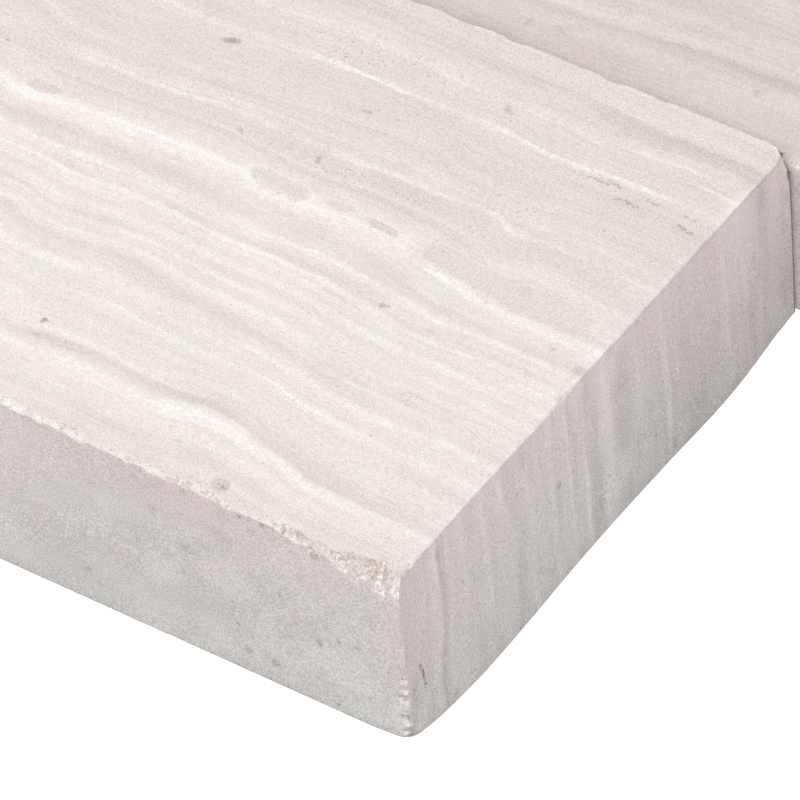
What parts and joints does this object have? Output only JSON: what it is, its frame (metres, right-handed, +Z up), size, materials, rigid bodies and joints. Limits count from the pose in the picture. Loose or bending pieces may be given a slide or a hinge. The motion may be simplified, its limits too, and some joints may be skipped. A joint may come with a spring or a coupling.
{
  "type": "ledger panel corner",
  "caption": "L-shaped stone cladding corner of sawn, honed marble strips in offset rows, lapped at the corner, with a tongue at one end and a socket at the other.",
  "frame": {"origin": "middle of the unit's footprint, on the floor that its bottom row stands on", "axes": "+X along the long leg, towards the corner; +Y out of the long leg's wall side, along the short leg; +Z up through the rows"},
  "size_m": [0.3448, 0.154, 0.1524],
  "materials": {
    "honed_stone": "honed face and sawn edges, pale grey-beige marble with fine veins along each strip"
  },
  "bodies": {
    "root": {"long_leg_bottom_outer_strip": "honed_stone", "long_leg_bottom_inner_strip": "honed_stone", "short_leg_bottom_strip": "honed_stone", "long_leg_middle_outer_strip": "honed_stone", "long_leg_middle_inner_strip": "honed_stone", "short_leg_middle_strip": "honed_stone", "long_leg_top_outer_strip": "honed_stone", "long_leg_top_inner_strip": "honed_stone", "short_leg_top_strip": "honed_stone"}
  },
  "joints": []
}
